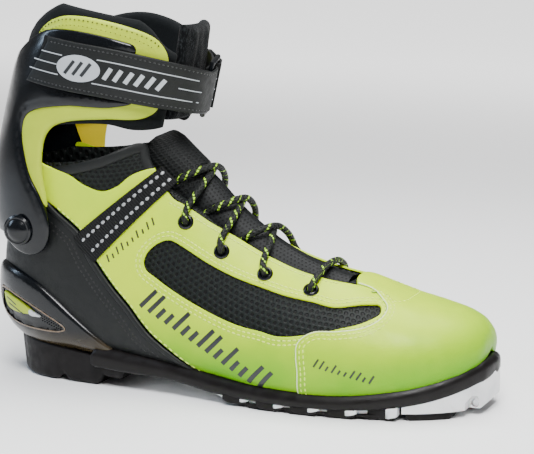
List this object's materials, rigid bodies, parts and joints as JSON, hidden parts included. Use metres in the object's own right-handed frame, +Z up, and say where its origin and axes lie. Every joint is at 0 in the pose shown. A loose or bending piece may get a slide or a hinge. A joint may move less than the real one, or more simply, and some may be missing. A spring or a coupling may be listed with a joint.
{
  "type": "cross-country skate boot",
  "caption": "Skating boot for cross-country roller or snow skis: laced lower boot, hinged ankle cuff with a strap and ring, and a grooved sole with a toe bar.",
  "frame": {"origin": "on the floor, at the middle of the flat heel tread", "axes": "+X towards the toe, +Z up, -Y to the outer side of the foot (a right boot)"},
  "size_m": [0.3019, 0.0992, 0.2198],
  "materials": {
    "lime": "smooth coated synthetic leather",
    "lime_soft": "soft-touch moulded plastic",
    "mesh_fabric": "open air mesh over foam",
    "black_synthetic": "matt coated synthetic",
    "gloss_black": "polished moulded plastic",
    "webbing": "woven tape",
    "lace_cord": "braided cord",
    "padding": "brushed cloth over foam",
    "black_rubber": "moulded rubber",
    "white_plastic": "moulded nylon",
    "steel": "drawn bar",
    "insole": "cloth over foam"
  },
  "bodies": {
    "boot": {"bootie_sock": "mesh_fabric", "tongue_pad": "mesh_fabric", "tongue_facing": "black_synthetic", "toe_cap": "lime", "counter_wrap": "black_synthetic", "quarter_lateral": "lime", "heel_tape_lateral": "webbing", "eyelet_lateral_1": "gloss_black", "eyelet_lateral_2": "gloss_black", "eyelet_lateral_3": "gloss_black", "eyelet_lateral_4": "gloss_black", "quarter_medial": "lime", "heel_tape_medial": "webbing", "eyelet_medial_1": "gloss_black", "eyelet_medial_2": "gloss_black", "eyelet_medial_3": "gloss_black", "eyelet_medial_4": "gloss_black", "lace": "lace_cord", "footbed": "insole", "rand": "black_rubber", "shank_plate": "white_plastic", "toe_plate": "white_plastic", "binding_bar": "steel", "heel_tread": "black_rubber", "forefoot_tread": "black_rubber", "toe_tread": "black_rubber", "heel_cup": "gloss_black", "badge_lateral": "lime_soft", "badge_medial": "lime_soft", "ankle_rivet_lateral": "gloss_black", "ankle_rivet_medial": "gloss_black", "ankle_bush_lateral": "black_synthetic", "ankle_bush_medial": "black_synthetic"},
    "cuff": {"cuff_pad": "padding", "front_flap": "padding", "cuff_frame": "gloss_black", "cuff_plate_lateral": "lime_soft", "cuff_plate_medial": "lime_soft", "strap_under": "webbing", "ring_tab": "webbing"},
    "ring": {"ring": "gloss_black"},
    "strap_flap": {"strap_over": "webbing"}
  },
  "joints": [
    {"name": "cuff_flex", "type": "hinge", "parent": "boot", "child": "cuff", "pos_m": [-0.015, 0, 0.09], "axis": [0, 1, 0], "range_deg": [-3, 10]},
    {"name": "ring_swing", "type": "hinge", "parent": "cuff", "child": "ring", "pos_m": [0.07986, 0.01801, 0.17202], "axis": [0.2206, -0.0093, 0.9753], "range_deg": [0, 20]},
    {"name": "strap_open", "type": "hinge", "parent": "ring", "child": "strap_flap", "pos_m": [0.0823, 0.00508, 0.1697], "axis": [0.2161, -0.0026, 0.9764], "range_deg": [0, 95]}
  ]
}
